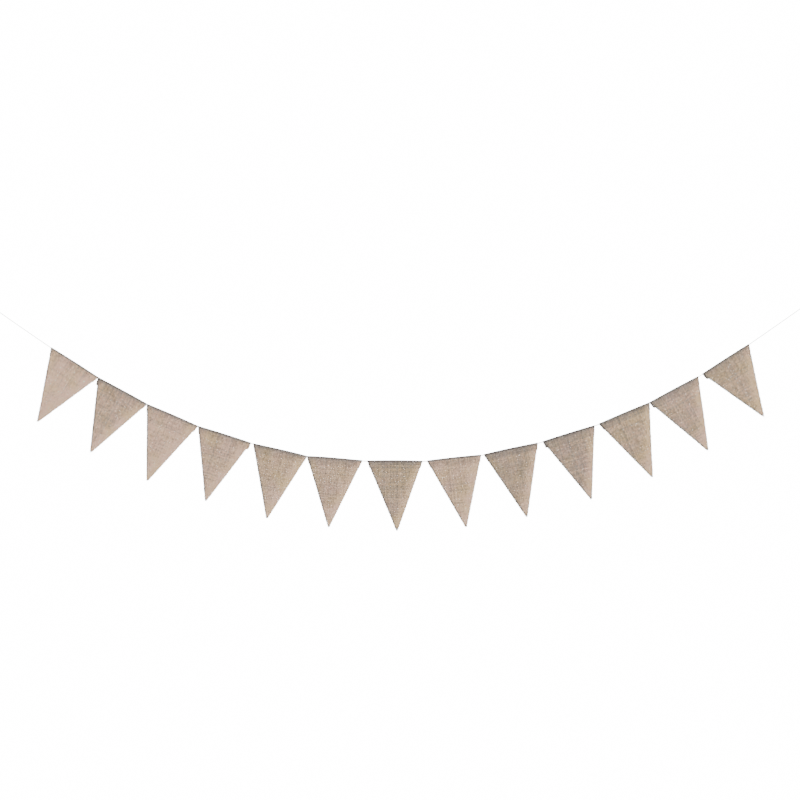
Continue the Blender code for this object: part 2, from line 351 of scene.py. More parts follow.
# Each end of the cord is tied into a loop that goes over a nail. The cord turns back on itself, its own
# turns are pulled tight round both legs of the loop as a knot, and a short cut end hangs below the knot,
# with its fibres opened out.
FRONT = Vector((0.0, -1.0, 0.0))
LOOP_BEND = 0.0048
LEG_INSIDE = 0.004
LEG_STEPS = 12
BEND_STEPS = 14
KNOT_TURNS = 3.5
KNOT_STEPS = 84
KNOT_WIDE = 0.0026
KNOT_DEEP = 0.0021
TUCKED = 0.3
TUCK_SPEED = 7.0
END_LENGTH = 0.0105
END_SPLAY = 0.0027
END_TUCKED = 0.7
END_STEPS = 8
TUFT_SEEDS = {"left": 10, "right": 11}
TUFT_FIBRES = 42
TUFT_FIBRE = 0.00016
TUFT_SIDES = 3
TUFT_LENGTH = (0.0015, 0.0042)
TUFT_OPENING = (0.1, 0.5)
TUFT_RADIUS = 0.42
TUFT_INSIDE = 0.0006
TUFT_STEPS = 4


def eased(t):
    """From 0 to 1 as t goes from 0 to 1, gently at both ends."""
    return t * t * (3 - 2 * t)


def loop_line(knot_end, along):
    """The cord's teardrop round the nail, both its legs starting inside the knot."""
    across = Vector((-along.z, 0.0, along.x))
    legs_apart = CORD + CLEARANCE
    reach = LOOP_LENGTH - LOOP_BEND
    leg = [(-LEG_INSIDE, legs_apart / 2)]
    for k in range(LEG_STEPS):
        t = k / LEG_STEPS
        leg.append((reach * t, legs_apart / 2 + (LOOP_BEND - legs_apart / 2) * eased(t)))
    angles = [math.pi / 2 - math.pi * k / BEND_STEPS for k in range(BEND_STEPS + 1)]
    bend = [(reach + LOOP_BEND * math.cos(angle), LOOP_BEND * math.sin(angle)) for angle in angles]
    back = [(run, -offset) for run, offset in reversed(leg)]
    return [knot_end + along * run + across * offset for run, offset in leg + bend + back]


def coil_line(knot_start, along):
    """The knot's turns round both legs of the loop, with their ends tucked in between the legs."""
    across = Vector((-along.z, 0.0, along.x))
    points = []
    for k in range(KNOT_STEPS + 1):
        t = k / KNOT_STEPS
        angle = math.tau * KNOT_TURNS * t
        out = TUCKED + (1.0 - TUCKED) * min(1.0, TUCK_SPEED * min(t, 1.0 - t))
        run = CORD / 2 + (KNOT_LENGTH - CORD) * t
        wide = KNOT_WIDE * out * math.cos(angle)
        deep = KNOT_DEEP * out * math.sin(angle)
        points.append(knot_start + along * run + across * wide + FRONT * deep)
    return points


def end_line(knot_start, along):
    """The cord's short cut end, which leaves the knot beside the cord and hangs away from it."""
    lower = Vector((math.copysign(along.z, along.x), 0.0, -abs(along.x)))
    beside = CORD + CLEARANCE
    points = [knot_start + along * KNOT_INSIDE + lower * beside * END_TUCKED]
    for k in range(END_STEPS + 1):
        t = k / END_STEPS
        points.append(knot_start - along * END_LENGTH * t + lower * (beside + END_SPLAY * t * t))
    return points


def tuft_lines(tip, before, seed):
    """The loose fibres at the cord's cut end, which open out a little as they leave it."""
    draw = np.random.default_rng(seed)
    ahead = (tip - before).normalized()
    lines = []
    for _ in range(TUFT_FIBRES):
        turn = draw.uniform(0.0, math.tau)
        across = Vector((ahead.z, 0.0, -ahead.x)) * math.cos(turn) + FRONT * math.sin(turn)
        from_centre = CORD * TUFT_RADIUS * math.sqrt(draw.uniform())
        length = draw.uniform(*TUFT_LENGTH)
        opening = draw.uniform(*TUFT_OPENING)
        start = tip + across * from_centre - ahead * TUFT_INSIDE
        runs = [length * k / TUFT_STEPS for k in range(TUFT_STEPS + 1)]
        lines.append([start + ahead * run + across * (opening * run * run / length) for run in runs])
    return lines


def thread_tree():
    """Plain fine threads or fibres along lines."""
    tree, given = new_tree("fine thread", {"Diameter": "Float", "Sides": "Int", "Material": "Material"})
    line = result(tree, "GeometryNodeMeshToCurve", {"Mesh": given["Geometry"]})
    circle = {"Resolution": given["Sides"], "Radius": sums(tree, "MULTIPLY", given["Diameter"], 0.5)}
    section = result(tree, "GeometryNodeCurvePrimitiveCircle", circle)
    laid = {"Curve": line, "Profile Curve": section, "Fill Caps": True}
    close_tree(tree, result(tree, "GeometryNodeCurveToMesh", laid), given["Material"])
    return tree


def thread_material(name, thread_colour):
    """One dry thread or fibre, a little uneven in colour along its length."""
    material, tree = new_material(name, roughness=0.75)
    place = node(tree, "ShaderNodeTexCoord").outputs["Object"]
    fibres = clouds(tree, place, scale=3000.0, detail=2.0)
    light = swung(tree, 1.0, fibres, swing=0.5)
    colour = result(tree, "ShaderNodeHueSaturation", {"Color": thread_colour, "Value": light})
    dress(tree, colour, fibres, strength=0.4, depth=0.0001)
    return material


thin_threads = thread_tree()
tuft_sizes = {
    "Diameter": TUFT_FIBRE,
    "Sides": TUFT_SIDES,
    "Material": thread_material("cotton fibre", COTTON),
}
for side, end, along in (("left", left_tail[-1], left_along), ("right", right_tail[-1], right_along)):
    knot_start = end + along * CLEARANCE
    knot_end = knot_start + along * (KNOT_LENGTH + CLEARANCE)
    cut_end = end_line(end, along)
    for part, points in (
        ("knot", coil_line(knot_start, along)),
        ("loop", loop_line(knot_end, along)),
        ("end", cut_end),
    ):
        name = f"{side}_{part}"
        piece = made_by(cord_tree, name + "_strands", line_mesh(name, points), cord_sizes)
        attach(piece, "root")
        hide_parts(name)
    name = side + "_end_tuft"
    fibres = line_mesh(name, *tuft_lines(cut_end[-1], cut_end[-2], TUFT_SEEDS[side]))
    tuft = made_by(thin_threads, name, fibres, tuft_sizes)
    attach(tuft, "root")

# Each flag is one cut of coarse jute cloth, a triangle whose top is folded to the back over the cord. It is
# woven here thread by thread, its warp as one piece and its weft as another. Every thread is cut off at the
# flag's outline, so its edges are a row of short frayed ends.
CLOTH = 0.0010
FOLD_CLEARANCE = 0.0004
LAYERS_APART = 0.0015
TIP_WIDTH = 0.0030
HEM = 0.017
PINCH = 0.010
ARCH = 1.55
ARCHED_DEPTH = 3 * HEM

# How the cloth stands forward below its fold: the curl grows with a power of the depth, and the bow's
# swells and the ripple's slanting waves are counted from the cord down to the tip.
CURL_POWER = 2.4
BOWS = 1.15
RIPPLES = 1.3
RIPPLE_SLANT = 0.22
RIPPLE_START = 3.0

# The sheet that the threads are laid on: it goes past the outline by its margin, and its rows follow the
# section and its columns the top edge.
MARGIN = 0.006
LAYOUT = 0.25
SIDE_ROWS = 9
FOLD_ROWS = 11
PANEL_ROWS = 30
COLUMNS = 40
OUTLINE_STEPS = 1000

# The yarns: how far apart and how thick they are, how far they stray from straight rows, and how far their
# cut ends stand out past the outline.
PITCH = 0.0022
YARN_WIDTH = 0.00221
YARN_THICKNESS = 0.00060
YARN_CORNERS = 4
LIFT = 0.00030
GRAIN = 420.0
GRAIN_SWING = 4.0
UNEVEN = 0.09
THINNEST = 0.94
JITTER = 0.030
DRIFT = 0.15
DRIFT_CLOUDS = 40.0
SPARE_WARPS = (2.5, 3.0)
EDGE_GAP = 0.0002
FRAY = (0.0003, 0.0013)
TAPER = 0.0003
END_LIFT = 0.2
END_THICKNESS = 0.75
DOUBLES = 0.000002
FLAG_SEED = 100
GRAIN_A_FLAG = 3.7
GRAIN_A_WEFT = 60.0

# How light the cloth is, where 1 is its plain colour. Each reach is how far from the fold or from a cut edge
# a dark or a light strip goes: the dark ones along the fold, below it and at the left cut edge are painted
# shade, and the light one at the right edge is painted light. A pair is how dark it is all along and how
# much darker at a dash.
WARP_LIGHT = 1.10
WEFT_LIGHT = 1.00
YARN_SHADES = 0.20
YARN_LIGHTS = (0.6, 1.4)
DARKEST = 0.20
DASH = 0.0066
DASH_WAVE = 0.6
DASH_CLOUD = 0.9
DASH_SEED = 5.3
CREASE_REACH = 0.0052
CREASE_PAINTED_SHADE = (0.44, 0.50)
BAND_REACH = 0.024
BAND_PAINTED_SHADE = 0.46
CUT_REACH = 0.0035
LEFT_CUT_SHADE = (0.30, 0.62)
RIGHT_CUT_DARK = (0.5, 1.1)
PAINTED_LIGHT_REACH = 0.015
RIGHT_PAINTED_LIGHT = 1.15
PAINTED_LIGHT_AT_FOLD = 0.4
PAINTED_LIGHT_FULL = 0.05
TIP_PALE = 0.14
TIP_DARK = 0.65
TIP_REACH = 0.0070
ROSE_MIDDLE = 0.62
ROSE_SWING = 0.8
ROSE_CLOUDS = 30.0
ROSE_SEED = 9.1

# The jute: its colours, its twist, how its streaks and slubs run round and along a yarn, and how each yarn's
# surface is laid out flat.
JUTE_STRAW = (0.645, 0.455, 0.240, 1.0)
JUTE_ROSE = (0.690, 0.450, 0.325, 1.0)
JUTE_DARK = (0.240, 0.145, 0.085, 1.0)
JUTE_PALE = (0.760, 0.610, 0.480, 1.0)
TWIST = 0.0026
TWIST_PAINTED_SHADE = 0.07
TWIST_RELIEF = 0.35
STREAKS_ROUND = 13.0
STREAKS_ALONG = 210.0
SLUBS_ALONG = 130.0
YARN_APART = 7.31
LIGHTEST = 1.45
BAKE_SHARE = 0.94
BAKE_SCALE = 4.0
BAKE_START = 0.12


def flag_length(flag):
    """How far below the cord the flag's cut tip is."""
    return (flag.drop - TIP_WIDTH / MM * flag.drop / flag.width) * MM


def section_rows(flag):
    """The cloth's section, from just past the flap's lower edge over the fold to just past the tip.

    Each row is (out, down, at): how far the cloth's middle is to the front of the cord's centre, how far
    below it, and how far along the cloth from the fold's top, which is negative on the flap.
    """
    radius = CORD / 2 + FOLD_CLEARANCE + CLOTH / 2
    sides = []
    for k in range(1, SIDE_ROWS + 1):
        down = HEM * k / (SIDE_ROWS - 1)
        pinched = eased(min(1.0, down / PINCH))
        sides.append((radius + (LAYERS_APART / 2 - radius) * pinched, down))
    angles = [-math.pi / 2 + math.pi * k / (FOLD_ROWS - 1) for k in range(FOLD_ROWS)]
    fold = [(radius * math.sin(angle), -radius * math.cos(angle)) for angle in angles]
    start = sides[-1][1]
    reach = flag_length(flag) + MARGIN - start
    panel = [(LAYERS_APART / 2, start + reach * k / PANEL_ROWS) for k in range(1, PANEL_ROWS + 1)]
    rows = [(-out, down) for out, down in reversed(sides)] + fold + sides + panel
    at = [0.0]
    for before, after in zip(rows, rows[1:]):
        at.append(at[-1] + math.dist(before, after))
    top = at[SIDE_ROWS + FOLD_ROWS // 2]
    return [(out, down, place - top) for (out, down), place in zip(rows, at)]


def edges_at(flag, width, down, flap):
    """Where the cloth's left and right edges are along the top edge, this far below the cord."""
    below = np.maximum(0.0, down)
    share = below / (flag.drop * MM)
    left = (width / 2 + flag.lean * MM) * share
    right = width - (width / 2 - flag.lean * MM) * share
    left = left - np.where(flap, flag.ear_l * MM * below / HEM, 0.0)
    right = right + np.where(flap, flag.ear_r * MM * below / HEM, 0.0)
    return left, right


def hang_out(flag, side, down):
    """How far the hanging cloth stands to the front here, from its curl, its bow and its ripple."""
    depth = max(0.0, down) / (flag.drop * MM)
    curl = flag.tip * MM * depth**CURL_POWER
    bow = flag.bow * MM * side * side * math.sin(math.pi * min(1.0, depth * BOWS)) ** 2
    wave = math.sin(2.0 * math.pi * (RIPPLES * depth + RIPPLE_SLANT * side))
    wave -= math.sin(2.0 * RIPPLE_SLANT * math.pi * side)
    ripple = flag.ripple * MM * wave * min(1.0, RIPPLE_START * depth)
    return curl + bow + ripple


class Hanging:
    """Where a flag hangs: the line of the cord in its fold, and places on the cloth from it.

    The cloth is too stiff to follow the cord's sag. Its fold stands a little arched over the cord and bears
    on it at the flag's two ends.
    """

    def __init__(self, flag, line):
        self.flag = flag
        self.left = line[0]
        self.run = (line[-1] - line[0]).normalized()
        self.downward = Vector((self.run.z, 0.0, -self.run.x))
        self.width = (line[-1] - line[0]).length
        self.reaches = [(point - self.left).dot(self.run) for point in line]
        self.sags = [(point - self.left).dot(self.downward) * (1.0 - ARCH) for point in line]

    def place(self, reach, out, down):
        """The point on the cloth at reach along the top edge, where the section is at out and down."""
        follow = max(0.0, 1.0 - max(0.0, down) / ARCHED_DEPTH)
        sag = float(np.interp(reach, self.reaches, self.sags)) * follow
        front = out + hang_out(self.flag, 2 * reach / self.width - 1.0, down)
        return self.left + self.run * reach + self.downward * (down + sag) + FRONT * front


def cloth_sheet(name, hanging, rows):
    """The cloth's middle surface, a little past its outline, with its flat layout and its normals."""
    reaches = np.linspace(-MARGIN, hanging.width + MARGIN, COLUMNS)
    start = rows[0][2]
    points = [hanging.place(reach, out, down) for out, down, _ in rows for reach in reaches]
    flat = [((reach + MARGIN) / LAYOUT, (at - start) / LAYOUT) for _, _, at in rows for reach in reaches]
    faces = []
    for row in range(len(rows) - 1):
        for column in range(COLUMNS - 1):
            first = row * COLUMNS + column
            faces.append((first, first + COLUMNS, first + COLUMNS + 1, first + 1))
    mesh = bpy.data.meshes.new(name)
    mesh.from_pydata([tuple(point) for point in points], [], faces)
    corners = np.empty(len(mesh.loops), np.int32)
    mesh.loops.foreach_get("vertex_index", corners)
    layout = mesh.uv_layers.new(name="layout")
    layout.data.foreach_set("uv", np.array(flat, np.float32)[corners].ravel())
    normals = np.empty(len(mesh.vertices) * 3, np.float32)
    mesh.vertex_normals.foreach_get("vector", normals)
    mesh.attributes.new("out", "FLOAT_VECTOR", "POINT").data.foreach_set("vector", normals)
    obj = bpy.data.objects.new(name, mesh)
    bpy.context.scene.collection.objects.link(obj)
    return obj


def strip(distance, reach, power):
    """1 at an edge and near it, and almost 0 past the reach."""
    return math.exp(-((distance / reach) ** power))


class FlatCloth:
    """One flag's cloth laid flat, with x along its top edge and y along the cloth from the fold's top.

    left and right are its cut edges at the places in along, from the flap's lower edge to the tip.
    """

    def __init__(self, number, hanging, rows):
        self.number = number
        self.flag = hanging.flag
        self.width = hanging.width
        downs = [down for _, down, _ in rows]
        ats = [at for _, _, at in rows]
        self.start = ats[0]
        self.lowest = float(np.interp(HEM, downs[:SIDE_ROWS][::-1], ats[:SIDE_ROWS][::-1]))
        front = SIDE_ROWS + FOLD_ROWS
        self.highest = float(np.interp(flag_length(self.flag), downs[front:], ats[front:]))
        self.length = self.highest - self.lowest
        self.along = np.linspace(self.lowest, self.highest, OUTLINE_STEPS)
        down = np.interp(self.along, ats, downs)
        self.left, self.right = edges_at(self.flag, self.width, down, self.along < 0.0)
        self.area = float(np.mean(self.right - self.left)) * self.length

    def left_at(self, y):
        """Where the left edge is at y."""
        return np.interp(y, self.along, self.left)

    def right_at(self, y):
        """Where the right edge is at y."""
        return np.interp(y, self.along, self.right)

    def tone(self, x, y, dark_right):
        """How light the cloth is here: painted shade in dashes along its fold and left cut edge and in a
        band below the fold, darker dashes along its right cut edge, and painted light on its right.
        """
        from_left = max(0.0, x - float(self.left_at(y)))
        from_right = max(0.0, float(self.right_at(y)) - x)
        cloud = noise.noise((x / DASH, y / DASH, DASH_SEED * self.number))
        wave = math.sin(math.tau * (x + y) / DASH)
        dashes = min(1.0, max(0.0, 0.5 + DASH_WAVE * wave + DASH_CLOUD * cloud))
        # Painted shade in dashes along the top of the fold.
        crease_shade = 1.0 - (CREASE_PAINTED_SHADE[0] + CREASE_PAINTED_SHADE[1] * dashes) * strip(y, CREASE_REACH, 4)
        # Painted shade in a band below the fold, where the cloth lies double and lets less light through.
        band_shade = 1.0 - BAND_PAINTED_SHADE * max(0.0, 1.0 - abs(y) / BAND_REACH)
        # Painted shade in dashes along the left cut edge, then darker dashes along the right one.
        cut = 1.0 - (LEFT_CUT_SHADE[0] + LEFT_CUT_SHADE[1] * dashes) * strip(from_left, CUT_REACH, 4)
        cut *= 1.0 - dark_right * dashes * strip(from_right, CUT_REACH, 4)
        # Painted light along the right cut edge, weaker near the fold.
        full = PAINTED_LIGHT_AT_FOLD + (1.0 - PAINTED_LIGHT_AT_FOLD) * min(1.0, abs(y) / PAINTED_LIGHT_FULL)
        lit_right = 1.0 + RIGHT_PAINTED_LIGHT * strip(from_right, PAINTED_LIGHT_REACH, 2) * full
        tip = 1.0 + TIP_PALE * max(0.0, y / self.highest) ** 3
        tip *= 1.0 - TIP_DARK * strip(self.highest - y, TIP_REACH, 2)
        return max(DARKEST, crease_shade * band_shade * cut * lit_right * tip)

    def rose(self, x, y):
        """How rosy the cloth is here, from 0, straw, to 1: in soft clouds, and less on a yellower flag."""
        cloud = noise.noise((x * ROSE_CLOUDS, y * ROSE_CLOUDS, ROSE_SEED * self.number))
        return min(1.0, max(0.0, ROSE_MIDDLE - self.flag.straw + ROSE_SWING * cloud))


def crossings(number, warp_at, weft_at, draw):
    """Where each warp crosses each weft on the flat cloth, a little off straight rows."""
    noise.seed_set(FLAG_SEED + number)
    drift = [
        [noise.noise_vector((x * DRIFT_CLOUDS, y * DRIFT_CLOUDS, number)) for y in weft_at]
        for x in warp_at
    ]
    drift = np.array(drift) * DRIFT * PITCH
    shake = JITTER * PITCH / 2
    shape = (len(warp_at), len(weft_at))
    cross_x = warp_at[:, None] + drift[:, :, 0] + draw.normal(0.0, shake, shape)
    cross_y = weft_at[None, :] + drift[:, :, 1] + draw.normal(0.0, shake, shape)
    return cross_x, cross_y


# A thread's crossings with the others, the side of the cloth that it is on at each, its two cut ends, and
# its way on the flat cloth.
Thread = namedtuple("Thread", "path sides first last way")


def cut_threads(cloth, warp_at, cross_x, cross_y):
    """The flag's warps and its wefts, each cut off at the outline."""
    inside = (cross_x > cloth.left_at(cross_y) + EDGE_GAP) & (cross_x < cloth.right_at(cross_y) - EDGE_GAP)
    inside &= (cross_y > cloth.lowest + EDGE_GAP) & (cross_y < cloth.highest - EDGE_GAP)
    warps = []
    for warp, x in enumerate(warp_at):
        within = np.flatnonzero((cloth.left <= x) & (x <= cloth.right))
        crossed = np.flatnonzero(inside[warp])
        if len(within) and len(crossed) > 1:
            path = [(cross_x[warp, weft], cross_y[warp, weft]) for weft in crossed]
            first = (path[0][0], min(cloth.along[within[0]], path[0][1] - EDGE_GAP))
            last = (path[-1][0], max(cloth.along[within[-1]], path[-1][1] + EDGE_GAP))
            sides = [1.0 if (warp + weft) % 2 else -1.0 for weft in crossed]
            warps.append(Thread(path, sides, first, last, (0.0, 1.0)))
    wefts = []
    for weft in range(cross_y.shape[1]):
        crossed = np.flatnonzero(inside[:, weft])
        if len(crossed) > 1:
            path = [(cross_x[warp, weft], cross_y[warp, weft]) for warp in crossed]
            first = (min(cloth.left_at(path[0][1]), path[0][0] - EDGE_GAP), path[0][1])
            last = (max(cloth.right_at(path[-1][1]), path[-1][0] + EDGE_GAP), path[-1][1])
            sides = [-1.0 if (warp + weft) % 2 else 1.0 for warp in crossed]
            wefts.append(Thread(path, sides, first, last, (1.0, 0.0)))
    return warps, wefts


def thread_lines(name, threads, light, cloth, dark_right, draw):
    """One set of threads as lines on the flat cloth, with what the weave needs to know at each point.

    lift is how far to one side of the cloth the thread is, thin how thick it is, shade is its lightness with
    the painted light and shade in it, rose its hue, and yarn is its place among the threads, their spacing,
    and how far along the thread this is.
    """
    points, edges = [], []
    known = {"lift": [], "thin": [], "shade": [], "rose": [], "yarn": []}
    for number, thread in enumerate(threads):
        way = np.array(thread.way)
        before, after = draw.uniform(*FRAY, 2)
        first = np.array(thread.first) - way * before
        last = np.array(thread.last) + way * after
        line = [first - way * TAPER, first, *thread.path, last, last + way * TAPER]
        yarn_light = light * float(np.clip(draw.normal(1.0, YARN_SHADES), *YARN_LIGHTS))
        start_lift, end_lift = thread.sides[0] * END_LIFT, thread.sides[-1] * END_LIFT
        edges += [(len(points) + k, len(points) + k + 1) for k in range(len(line) - 1)]
        points += [(x + MARGIN, y - cloth.start, 0.0) for x, y in line]
        known["lift"] += [start_lift, start_lift, *thread.sides, end_lift, end_lift]
        known["thin"] += [0.0, END_THICKNESS] + [1.0] * len(thread.path) + [END_THICKNESS, 0.0]
        # Each point's shade is its yarn's lightness times the painted light and shade of tone().
        known["shade"] += [yarn_light * cloth.tone(x, y, dark_right) for x, y in line]
        known["rose"] += [cloth.rose(x, y) for x, y in line]
        spacing = 1.0 / len(threads)
        known["yarn"] += [(number / len(threads), spacing, float(np.dot(point, way))) for point in line]
    mesh = bpy.data.meshes.new(name)
    mesh.from_pydata(points, edges, [])
    for label, values in known.items():
        kind, field = ("FLOAT_VECTOR", "vector") if label == "yarn" else ("FLOAT", "value")
        mesh.attributes.new(label, kind, "POINT").data.foreach_set(field, np.ravel(values))
    return mesh


def thread_meshes(name, cloth):
    """The lines of a flag's warp and of its weft."""
    draw = np.random.default_rng(FLAG_SEED + cloth.number)
    spare_left, spare_right = SPARE_WARPS
    warp_at = np.arange(-spare_left * PITCH, cloth.width + spare_right * PITCH, PITCH)
    warp_at = warp_at + draw.uniform(0.0, PITCH)
    weft_at = np.arange(cloth.lowest + PITCH / 2, cloth.highest, PITCH)
    warp_at = warp_at + draw.normal(0.0, JITTER * PITCH, len(warp_at))
    weft_at = weft_at + draw.normal(0.0, JITTER * PITCH, len(weft_at))
    cross_x, cross_y = crossings(cloth.number, warp_at, weft_at, draw)
    dark_right = draw.uniform(*RIGHT_CUT_DARK) * cloth.number / len(FLAGS)
    warps, wefts = cut_threads(cloth, warp_at, cross_x, cross_y)
    shade = cloth.flag.shade
    return [
        thread_lines(f"{name}_{way}", threads, shade * light, cloth, dark_right, draw)
        for way, threads, light in (("warp", warps, WARP_LIGHT), ("weft", wefts, WEFT_LIGHT))
    ]


def vectors(tree, operation, a, b=(0.0, 0.0, 0.0)):
    """One sum on vectors."""
    return result(tree, "ShaderNodeVectorMath", {0: a, 1: b}, operation=operation)


def joined(tree, x, y, z):
    """A vector of three numbers."""
    return result(tree, "ShaderNodeCombineXYZ", {0: x, 1: y, 2: z})


def weave_tree():
    """Wraps flat threads onto a sheet, over and under each other, and gives each its flattened yarn."""
    tree, given = new_tree(
        "weave",
        {
            "Sheet": "Object",
            "Layout": "Float",
            "Yarn Width": "Float",
            "Yarn Thickness": "Float",
            "Lift": "Float",
            "Uneven": "Float",
            "Thinnest": "Float",
            "Seed": "Float",
            "Material": "Material",
        },
    )

    def attribute(name, kind):
        return result(tree, "GeometryNodeInputNamedAttribute", {"Name": name}, data_type=kind)

    here = result(tree, "GeometryNodeInputPosition")
    wrap = {
        "Mesh": node(tree, "GeometryNodeObjectInfo", {"Object": given["Sheet"]}).outputs["Geometry"],
        "UV Map": attribute("layout", "FLOAT_VECTOR"),
        "Sample UV": scaled(tree, here, sums(tree, "DIVIDE", 1.0, given["Layout"])),
    }

    def on_sheet(value):
        return result(
            tree, "GeometryNodeSampleUVSurface", {**wrap, "Value": value}, data_type="FLOAT_VECTOR"
        )

    place = on_sheet(here)
    face = vectors(tree, "NORMALIZE", on_sheet(attribute("out", "FLOAT_VECTOR")))
    apart = joined(tree, given["Seed"], given["Seed"], given["Seed"])
    grain = clouds(tree, vectors(tree, "ADD", scaled(tree, here, GRAIN), apart), scale=1.0, detail=1.0)
    grain = sums(tree, "MULTIPLY", sums(tree, "SUBTRACT", grain, 0.5), GRAIN_SWING)
    line = result(tree, "GeometryNodeMeshToCurve", {"Mesh": given["Geometry"]})
    line, on_line = kept(
        tree, line, {"place": ("VECTOR", place), "face": ("VECTOR", face), "grain": ("FLOAT", grain)}
    )

    lift = sums(tree, "MULTIPLY", attribute("lift", "FLOAT"), given["Lift"])
    woven = vectors(tree, "ADD", on_line["place"], scaled(tree, on_line["face"], lift))
    line = result(tree, "GeometryNodeSetPosition", {"Geometry": line, "Position": woven})
    facing = {"Curve": line, "Normal": on_line["face"]}
    line = result(tree, "GeometryNodeSetCurveNormal", facing, mode="FREE")
    thick = sums(tree, "MULTIPLY_ADD", on_line["grain"], given["Uneven"], 1.0)
    thick = sums(tree, "MAXIMUM", thick, given["Thinnest"])
    thick = sums(tree, "MULTIPLY", thick, attribute("thin", "FLOAT"))

    # The section is a full turn whose last point meets its first, so that the bake's layout has a seam.
    turn = {"Resolution": YARN_CORNERS + 1, "Radius": 1.0, "Sweep Angle": math.tau}
    section = result(tree, "GeometryNodeCurveArc", turn)
    around = node(tree, "GeometryNodeSplineParameter").outputs["Factor"]
    section, on_section = kept(tree, section, {"around": ("FLOAT", around)})
    half_thickness = sums(tree, "MULTIPLY", given["Yarn Thickness"], 0.5)
    half_width = sums(tree, "MULTIPLY", given["Yarn Width"], 0.5)
    half = joined(tree, half_thickness, half_width, 0.0)
    oval = vectors(tree, "MULTIPLY", result(tree, "GeometryNodeInputPosition"), half)
    section = result(tree, "GeometryNodeSetPosition", {"Geometry": section, "Position": oval})
    laid = {"Curve": line, "Profile Curve": section, "Scale": thick}
    yarns = result(tree, "GeometryNodeCurveToMesh", laid)

    among, spacing, run = node(tree, "ShaderNodeSeparateXYZ", {0: attribute("yarn", "FLOAT_VECTOR")}).outputs
    strip_u = sums(tree, "MULTIPLY", sums(tree, "MULTIPLY", on_section["around"], BAKE_SHARE), spacing)
    u = sums(tree, "ADD", among, strip_u)
    v = sums(tree, "MULTIPLY_ADD", run, BAKE_SCALE, BAKE_START)
    yarns = stored(tree, yarns, "OFBake", "FLOAT2", "CORNER", joined(tree, u, v, 0.0))
    number = sums(tree, "ADD", sums(tree, "DIVIDE", among, spacing), given["Seed"])
    fibre = joined(tree, on_section["around"], number, run)
    yarns = stored(tree, yarns, "fibre", "FLOAT_VECTOR", "CORNER", fibre)
    yarns = result(tree, "GeometryNodeMergeByDistance", {"Geometry": yarns, "Distance": DOUBLES})
    close_tree(tree, yarns, given["Material"])
    return tree


def spread(tree, value, start, end, low, high):
    """From low to high as a value goes from start to end, and no further."""
    limits = {"Value": value, "From Min": start, "From Max": end, "To Min": low, "To Max": high}
    return result(tree, "ShaderNodeMapRange", limits)


def jute_material():
    """Undyed jute yarn: streaked along its fibres, twisted, slubbed, and a little different in each yarn,
    with painted shade in its twist's grooves, and greyer where its shade is darker.
    """
    material, tree = new_material("jute", roughness=0.9, sheen=0.12)
    fibre = node(tree, "ShaderNodeAttribute", attribute_name="fibre").outputs["Vector"]
    around, number, run = node(tree, "ShaderNodeSeparateXYZ", {0: fibre}).outputs
    yarn = sums(tree, "MULTIPLY", number, YARN_APART)
    streaks_x = sums(tree, "MULTIPLY", around, STREAKS_ROUND)
    streaks_z = sums(tree, "MULTIPLY", run, STREAKS_ALONG)
    streaks = clouds(tree, joined(tree, streaks_x, yarn, streaks_z), scale=1.0, detail=3.0)
    slubs_z = sums(tree, "MULTIPLY", run, SLUBS_ALONG)
    slubs = clouds(tree, joined(tree, 0.0, yarn, slubs_z), scale=1.0, detail=2.0)
    turn = sums(tree, "MULTIPLY", around, 2 * math.tau)
    twist = sums(tree, "SINE", sums(tree, "MULTIPLY_ADD", run, math.tau / TWIST, turn))
    place = node(tree, "ShaderNodeTexCoord").outputs["Object"]
    patches = clouds(tree, place, scale=28.0, detail=3.0)
    mottle = clouds(tree, place, scale=260.0, detail=2.0)
    # shade is each yarn's own lightness times the cloth's painted light and shade.
    shade = node(tree, "ShaderNodeAttribute", attribute_name="shade").outputs["Fac"]
    rosy = node(tree, "ShaderNodeAttribute", attribute_name="rose").outputs["Fac"]

    colour = blended(tree, rosy, JUTE_STRAW, JUTE_ROSE)
    dark = spread(tree, streaks, start=0.52, end=0.32, low=0.0, high=0.80)
    colour = blended(tree, dark, colour, JUTE_DARK)
    pale = spread(tree, slubs, start=0.50, end=0.75, low=0.0, high=0.7)
    colour = blended(tree, pale, colour, JUTE_PALE)

    light = swung(tree, shade, patches, swing=0.36)
    light = swung(tree, light, mottle, swing=1.20)
    slubbed = spread(tree, slubs, start=0.30, end=0.70, low=0.74, high=1.22)
    light = sums(tree, "MULTIPLY", light, slubbed)
    # Painted shade in the grooves of each yarn's twist, and painted light on its ridges.
    light = sums(tree, "MULTIPLY", light, sums(tree, "MULTIPLY_ADD", twist, TWIST_PAINTED_SHADE, 1.0))
    light = sums(tree, "MINIMUM", light, LIGHTEST)
    # The colour is greyer where shade is low, mostly in the painted shade.
    greyed = spread(tree, shade, start=0.25, end=0.95, low=0.42, high=1.0)
    seen = {"Color": colour, "Saturation": greyed, "Value": light}
    colour = result(tree, "ShaderNodeHueSaturation", seen)
    height = sums(tree, "MULTIPLY_ADD", twist, TWIST_RELIEF, streaks)
    dress(tree, colour, height, strength=0.9, depth=0.00022)
    return material


